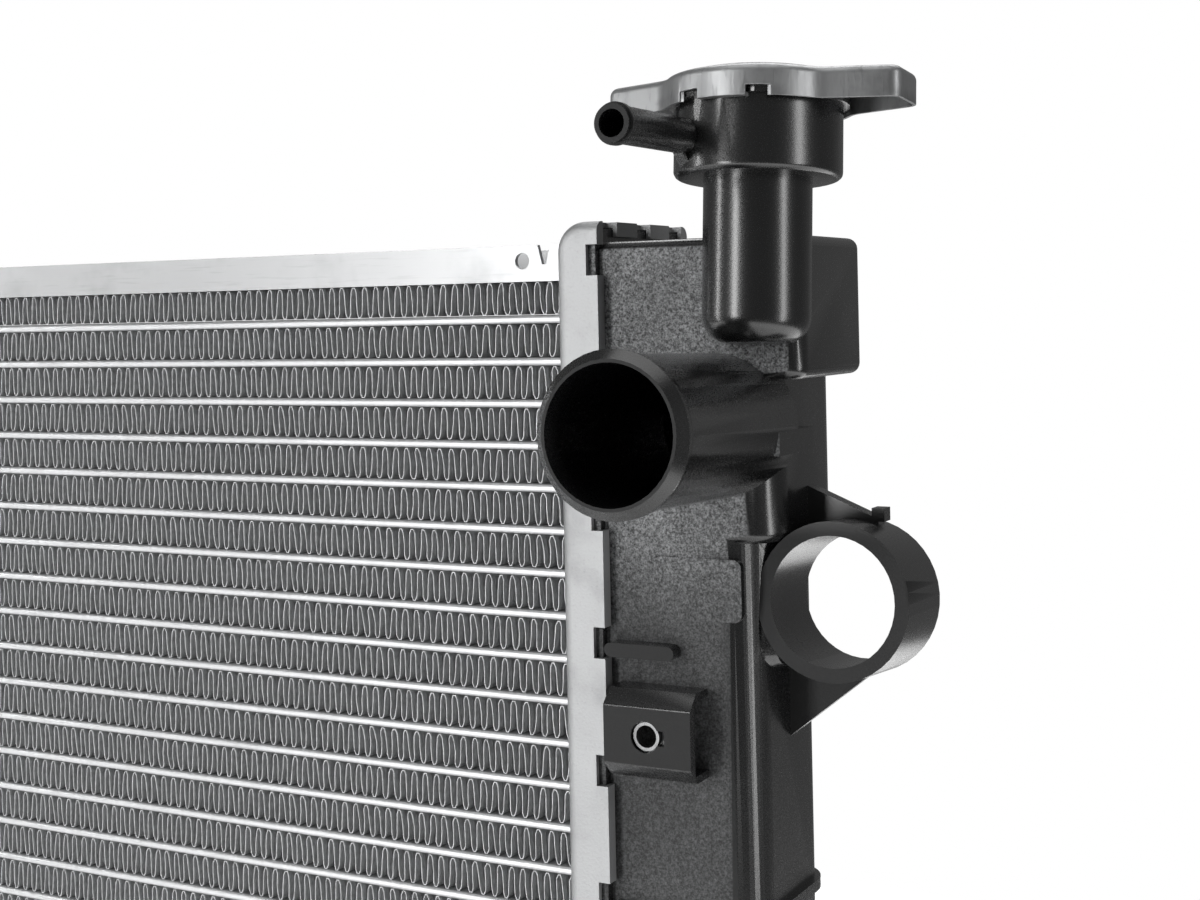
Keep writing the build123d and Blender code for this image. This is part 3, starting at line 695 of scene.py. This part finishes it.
@dataclass(frozen=True)
class Rubber:
    """Matt black rubber.

    Args:
        name: The material's name.
        base: Grey of clean rubber.
        dusty: Grey of dusty rubber.
        dust: Dusty spots per metre.
        rough: Roughness of clean rubber.
        grain_depth: Height of its grain.
    """

    name: str = "seal_rubber_black"
    base: float = 0.014
    dusty: float = 0.035
    dust: float = 500.0
    rough: float = 0.62
    grain_depth: float = 0.06 * MM

    def material(self) -> bpy.types.Material:
        """Builds the material."""
        graph = Graph(self.name)
        dust = graph.noise(self.dust, 4.0)
        colour = graph.blend(dust.step(0.5, 0.75), grey(self.base), grey(self.dusty))
        return graph.finish(
            {
                "Base Color": colour,
                "Roughness": self.rough + 0.2 * dust,
                "Normal": graph.bump(dust, self.grain_depth),
            }
        )


# ---- sub-assemblies ---------------------------------------------------------------------------------


@dataclass
class FinRibbons:
    """The corrugated ribbons between the tubes, one row between each pair.

    Args:
        rows: How many rows there are.
        row_pitch: Height from one row to the next.
        first_level: Level of the lowest row's middle.
        length: Length of a row.
        height: Height of a row.
        half_depth: Half a row's depth.
        wave: Length of one wave.
        sheet: Thickness of the ribbon.
        overhang: How far the legs bulge past straight ones.
        wander: How far the legs stray along the row.
        wander_scale: Distance over which they stray.
        row_shift: Share of a wave by which each row is shifted from the one below.
        crease: Edges sharper than this, in degrees, stay sharp.
        rows_in_piece: Rows that are joined into one piece.
        angles: Where along one wave the outline has its points, in degrees.
        made: The finished pieces.
    """

    rows: int = 46
    row_pitch: float = 10 * MM
    first_level: float = 5.2 * MM
    length: float = 660 * MM
    height: float = 7.94 * MM
    half_depth: float = 16.9 * MM
    wave: float = 3.35 * MM
    sheet: float = 0.17 * MM
    overhang: float = 1.12
    wander: float = 1.1 * MM
    wander_scale: float = 7.0 * MM
    row_shift: float = 0.37
    crease: float = 50.0
    rows_in_piece: int = 10
    angles: tuple[int, ...] = (0, 45, 75, 105, 135, 180, 225, 255, 285, 315, 360)
    made: list[bpy.types.Object] = field(default_factory=list)

    def outline(self) -> list[Vector]:
        """Points of one wave, from a rising leg's middle to the next one's.

        Returns:
            Points in the X-Z plane.
        """
        swing = (self.height - self.sheet) / 2
        points = []
        for angle in self.angles:
            turn = math.radians(angle)
            along = self.wave * (turn / (2 * math.pi) - self.overhang * math.sin(2 * turn) / (4 * math.pi))
            points.append(Vector((along, 0.0, swing * math.sin(turn))))
        return points

    def one_wave(self) -> bpy.types.Object:
        """Draws one wave by extruding an edge along the outline.

        Returns:
            The wave, as an open sheet.
        """
        points = self.outline()
        deselect_all()
        bpy.ops.mesh.primitive_plane_add(size=2 * self.half_depth, location=(0, 0, 0))
        wave = bpy.context.object
        edit(wave)
        bpy.ops.mesh.delete(type="ONLY_FACE")
        done()
        for vertex in wave.data.vertices:
            vertex.select = vertex.co.x > 0
        bpy.ops.object.mode_set(mode="EDIT")
        bpy.ops.mesh.delete(type="VERT")
        bpy.ops.mesh.select_all(action="SELECT")
        bpy.ops.transform.translate(value=(self.half_depth, 0, 0))
        for before, after in zip(points, points[1:]):
            bpy.ops.mesh.extrude_region_move(TRANSFORM_OT_translate={"value": tuple(after - before)})
        done()
        return wave

    def one_row(self) -> bpy.types.Object:
        """Repeats the wave along one row and gives the sheet its thickness.

        Returns:
            The lowest row.
        """
        row = self.one_wave()
        count = int(self.length / self.wave)
        modify(
            row,
            "ARRAY",
            count=count,
            use_relative_offset=False,
            use_constant_offset=True,
            constant_offset_displace=(self.wave, 0, 0),
            use_merge_vertices=True,
            merge_threshold=MERGE_REACH / 2,
        )
        modify(row, "SOLIDIFY", thickness=self.sheet, offset=0.0, use_even_offset=True)
        row.location = (-count * self.wave / 2, 0, self.first_level)
        settle(row)
        return row

    def build(self, look: bpy.types.Material) -> list[bpy.types.Object]:
        """Copies the row up the core and lets each copy wander a little, as formed ribbons do.

        Args:
            look: The fin's material.

        Returns:
            The finished pieces, each of several rows.
        """
        first = self.one_row()
        texture = bpy.data.textures.new("ribbon_wander", "CLOUDS")
        texture.noise_scale = self.wander_scale
        texture.noise_depth = 1
        copies: list[bpy.types.Object] = []
        for index in range(self.rows):
            row = bpy.data.objects.new(f"row_{index}", first.data.copy())
            bpy.context.scene.collection.objects.link(row)
            row.location = (self.wave * (self.row_shift * index % 1.0 - 0.5), 0, index * self.row_pitch)
            settle(row)
            modify(
                row,
                "DISPLACE",
                texture=texture,
                texture_coords="LOCAL",
                direction="X",
                strength=self.wander,
                mid_level=0.5,
            )
            copies.append(row)
        bpy.data.objects.remove(first)
        for start in range(0, self.rows, self.rows_in_piece):
            rows = copies[start : start + self.rows_in_piece]
            piece = join(rows, f"fin_rows_{start // self.rows_in_piece}")
            piece.data.materials.clear()
            piece.data.materials.append(look)
            smooth(piece, self.crease)
            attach(piece, Body.RADIATOR.value)
            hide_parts("fin_strips")
            self.made.append(piece)
        return self.made


@dataclass
class SoftenedPart:
    """A CAD node whose sharp edges are rounded for the looks.

    Args:
        node: The node's name.
        body: The body that it rides on.
        slot: Its material slot in the record; not used.
        width: Reach of the rounding.
        degrees: Edges flatter than this stay as they are.
    """

    node: str
    body: Body
    slot: Slot
    width: float
    degrees: float = 32.0

    def build(self, look: bpy.types.Material) -> bpy.types.Object:
        """Makes and dresses the piece.

        Args:
            look: Its material.

        Returns:
            The piece.
        """
        piece = softened(self.node, self.width, self.degrees)
        piece.data.materials.clear()
        piece.data.materials.append(look)
        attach(piece, self.body.value)
        return piece


@dataclass(frozen=True)
class Softbox:
    """One soft box that faces the studio's focus.

    Args:
        name: The light's name.
        azimuth: Where it stands, seen from above, in degrees; 0 is in front.
        height: Its height over the focus.
        reach: Its distance from the focus along the ground.
        width: Its width.
        tall: Its other side.
        power: Its power in watts.
    """

    name: str
    azimuth: float
    height: float
    reach: float
    width: float
    tall: float
    power: float

    def build(self, focus: Triple) -> None:
        """Adds the light.

        Args:
            focus: The point that it faces.
        """
        data = bpy.data.lights.new(self.name, "AREA")
        data.shape = "RECTANGLE"
        data.size = self.width
        data.size_y = self.tall
        data.energy = self.power
        item = bpy.data.objects.new(self.name, data)
        bpy.context.scene.collection.objects.link(item)
        turn = math.radians(self.azimuth)
        away = Vector((math.sin(turn) * self.reach, -math.cos(turn) * self.reach, self.height))
        item.location = Vector(focus) + away
        item.rotation_euler = (-away).to_track_quat("-Z", "Y").to_euler()


@dataclass
class Studio:
    """Pale floor, soft boxes and the camera.

    Args:
        camera_place: Where the camera stands.
        azimuth: Where it looks from, in degrees; 0 is in front.
        roll: Its tilt about its own line of sight, in degrees.
        lens: Its focal length in millimetres.
        sensor: Its sensor's width in millimetres.
        shift: Its lens's upward shift, as a share of the sensor.
        focus: The point that the soft boxes face.
        near_clip: Distance within which the camera sees nothing.
        floor_radius: Radius of the floor.
        floor_corners: Corners of the floor's outline.
        floor_gap: Distance of the floor under the radiator.
        floor_glow: The floor's own light at its middle; at its rim it is as white as the room.
        room_light: Strength of the light from all around.
        boxes: The soft boxes.
    """

    camera_place: Triple = (0.5311, -0.3757, 0.4519)
    azimuth: float = 28.3
    roll: float = -1.202
    lens: float = 52.62
    sensor: float = 36.0
    shift: float = -0.1159
    focus: Triple = (0.36, 0.0, 0.40)
    near_clip: float = 10 * MM
    floor_radius: float = 1.0
    floor_corners: int = 96
    floor_gap: float = 0.2 * MM
    floor_glow: float = 0.22
    room_light: float = 0.12
    boxes: tuple[Softbox, ...] = (
        Softbox("left_box", azimuth=-22, height=0.12, reach=1.3, width=0.26, tall=1.3, power=10),
        Softbox("right_box", azimuth=79, height=0.1, reach=1.3, width=0.24, tall=1.3, power=6),
        Softbox("rim_box", azimuth=-64, height=0.25, reach=1.5, width=0.12, tall=1.2, power=5),
        Softbox("top_box", azimuth=10, height=1.5, reach=0.35, width=1.4, tall=1.0, power=6),
        Softbox("back_box", azimuth=190, height=1.5, reach=0.9, width=1.4, tall=0.8, power=14),
    )

    def camera(self) -> None:
        """Adds the camera."""
        data = bpy.data.cameras.new("camera")
        data.lens = self.lens
        data.sensor_width = self.sensor
        data.sensor_fit = "HORIZONTAL"
        data.shift_y = self.shift
        data.clip_start = self.near_clip
        item = bpy.data.objects.new("camera", data)
        bpy.context.scene.collection.objects.link(item)
        turn = Matrix.Rotation(math.radians(self.azimuth), 4, "Z") @ Matrix.Rotation(math.pi / 2, 4, "X")
        roll = Matrix.Rotation(math.radians(self.roll), 4, "Z")
        item.matrix_world = Matrix.Translation(self.camera_place) @ turn @ roll
        bpy.context.scene.camera = item

    def floor(self) -> None:
        """Adds the floor, which fades into the white room."""
        low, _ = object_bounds()
        deselect_all()
        bpy.ops.mesh.primitive_circle_add(
            vertices=self.floor_corners,
            radius=self.floor_radius,
            fill_type="NGON",
            location=(0, 0, low.z - self.floor_gap),
        )
        floor = bpy.context.object
        floor.name = "floor"
        graph = Graph("pale_floor")
        faint = graph.noise(6.0, 2.0)
        colour = graph.blend(faint, grey(0.90), grey(0.93))
        away = graph.node("ShaderNodeVectorMath", {"operation": "LENGTH"}, {0: graph.place()}).out("Value")
        rim = away.step(0.35 * self.floor_radius, 0.97 * self.floor_radius)
        floor.data.materials.append(
            graph.finish(
                {
                    "Base Color": colour,
                    "Roughness": 0.8,
                    "Emission Color": graph.blend(rim, grey(self.floor_glow), grey(1.0)),
                    "Emission Strength": 1.0,
                }
            )
        )
        floor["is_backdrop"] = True

    def room(self) -> None:
        """Adds the white room."""
        world = bpy.data.worlds.new("pale_room")
        bpy.context.scene.world = world
        world.use_nodes = True
        tree = world.node_tree
        tree.nodes.clear()
        path = tree.nodes.new("ShaderNodeLightPath")
        room = tree.nodes.new("ShaderNodeBackground")
        room.inputs["Color"].default_value = grey(1.0)
        room.inputs["Strength"].default_value = self.room_light
        seen = tree.nodes.new("ShaderNodeBackground")
        seen.inputs["Color"].default_value = grey(1.0)
        seen.inputs["Strength"].default_value = 1.0
        mix = tree.nodes.new("ShaderNodeMixShader")
        output = tree.nodes.new("ShaderNodeOutputWorld")
        tree.links.new(path.outputs["Is Camera Ray"], mix.inputs[0])
        tree.links.new(room.outputs[0], mix.inputs[1])
        tree.links.new(seen.outputs[0], mix.inputs[2])
        tree.links.new(mix.outputs[0], output.inputs["Surface"])

    def build(self) -> None:
        """Sets the whole studio up."""
        self.camera()
        for box in self.boxes:
            box.build(self.focus)
        self.floor()
        self.room()
        bpy.context.scene.view_settings.view_transform = "Standard"


def dress(names: Iterable[str], look: bpy.types.Material) -> None:
    """Gives CAD nodes that stay in sight their finish.

    Args:
        names: The nodes.
        look: Their material.
    """
    for name in names:
        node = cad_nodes[name]
        if node.material_slots:
            for slot in node.material_slots:
                slot.material = look
        else:
            node.data.materials.append(look)
        log.info("dressed %s", name)


def aluminium_finishes() -> tuple[Metal, Metal, Metal]:
    """Bare aluminium of the core.

    Returns:
        Finishes of the side plates, the headers and the tubes.
    """
    plates = Metal(
        "mill_aluminium",
        light=0.50,
        dark=0.36,
        rough_low=0.34,
        rough_high=0.50,
        grain=1400.0,
        along=(0.06, 1.0, 1.0),
        bump_depth=0.02 * MM,
        blotch=45.0,
    )
    headers = Metal(
        "blasted_aluminium",
        light=0.40,
        dark=0.31,
        rough_low=0.46,
        rough_high=0.64,
        grain=1500.0,
        bump_depth=0.08 * MM,
        blotch=70.0,
        metallic=0.9,
    )
    tubes = Metal(
        "tube_aluminium",
        light=0.70,
        dark=0.56,
        rough_low=0.34,
        rough_high=0.48,
        along=(0.1, 1.0, 1.0),
        bump_depth=0.02 * MM,
        metallic=0.9,
    )
    return plates, headers, tubes


def cap_finishes() -> tuple[Metal, Metal]:
    """Worn plated steel of the cap.

    Returns:
        Finishes of the pressed shell and of the dark cover.
    """
    shell = Metal(
        "plated_steel",
        light=0.34,
        dark=0.13,
        rough_low=0.30,
        rough_high=0.55,
        grain=1200.0,
        along=(1.0, 1.0, 0.15),
        bump_depth=0.04 * MM,
        blotch=90.0,
        metallic=0.8,
        cool=0.012,
    )
    cover = Metal(
        "cover_steel",
        light=0.16,
        dark=0.08,
        rough_low=0.3,
        rough_high=0.45,
        grain=1200.0,
        blotch=90.0,
        metallic=0.8,
        cool=0.012,
    )
    return shell, cover


def build_softened_parts(
    tank: bpy.types.Material,
    header: bpy.types.Material,
    plate: bpy.types.Material,
    shell: bpy.types.Material,
    cover: bpy.types.Material,
) -> None:
    """Builds every rounded copy of a CAD node.

    Args:
        tank: Material of the end tanks.
        header: Material of the headers.
        plate: Material of the side plates.
        shell: Material of the cap's shell.
        cover: Material of the cap's cover.
    """
    moulding = 0.5 * MM
    pressing = 0.25 * MM
    parts = (
        (SoftenedPart("tank_right", Body.RADIATOR, Slot.TANKS, moulding), tank),
        (SoftenedPart("tank_left", Body.RADIATOR, Slot.TANKS, moulding), tank),
        (SoftenedPart("header_right", Body.RADIATOR, Slot.HEADERS, pressing), header),
        (SoftenedPart("header_left", Body.RADIATOR, Slot.HEADERS, pressing), header),
        (SoftenedPart("side_plate_top", Body.RADIATOR, Slot.PLATES, pressing), plate),
        (SoftenedPart("side_plate_bottom", Body.RADIATOR, Slot.PLATES, pressing), plate),
        (SoftenedPart("cap_shell", Body.CAP_HANDLE, Slot.CAP, 0.3 * MM), shell),
        (SoftenedPart("cap_cover", Body.CAP_HANDLE, Slot.CAP, 0.2 * MM), cover),
    )
    for part, look in parts:
        piece = part.build(look)
        log.info("built %s: %d faces", piece.name, len(piece.data.polygons))


def dress_small_parts(shell: bpy.types.Material) -> None:
    """Gives the small CAD nodes that stay in sight their finishes.

    Args:
        shell: Material of the cap's shell, which its inner sheets share.
    """
    spring = Metal("spring_steel", light=0.45, dark=0.3, rough_low=0.25, rough_high=0.4)
    zinc = Metal("zinc_sheet", light=0.22, dark=0.1, rough_low=0.35, rough_high=0.5)
    brass = Metal("valve_brass_sheet", light=0.6, dark=0.4, rough_low=0.25, rough_high=0.4, cool=-0.35)
    # The drain's nylon carries the same painted speckled reflection on flat walls, at half strength.
    drain = Nylon("drain_nylon_black", base=0.014, sheen_grey=0.08, rough=0.38, flat_share=0.5)
    rubber = Rubber().material()
    dress(["gasket_right", "gasket_left", "cap_top_seal", "pressure_gasket", "drain_seal"], rubber)
    dress(["cap_rivet", "cap_bell", "cap_diaphragm"], shell)
    dress(["pressure_spring", "vacuum_spring"], spring.material())
    dress(["clip_nut_right", "clip_nuts_left"], zinc.material())
    dress(["pressure_plate", "vacuum_valve"], brass.material())
    dress(["drain_cock"], drain.material())


def main() -> None:
    """Builds every piece in order."""
    logging.basicConfig(level=logging.INFO, format="%(message)s")
    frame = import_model()
    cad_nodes.update(frame["nodes"])
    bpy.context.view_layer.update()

    plates, headers, tubes = aluminium_finishes()
    shell, cover = cap_finishes()
    shell_look = shell.material()
    for piece in FinRibbons().build(FinSheet().material()):
        log.info("built %s", piece.name)
    build_softened_parts(
        Nylon().material(), headers.material(), plates.material(), shell_look, cover.material()
    )
    dress(["tubes"], tubes.material())
    dress_small_parts(shell_look)
    Studio().build()


if __name__ == "__main__":
    main()
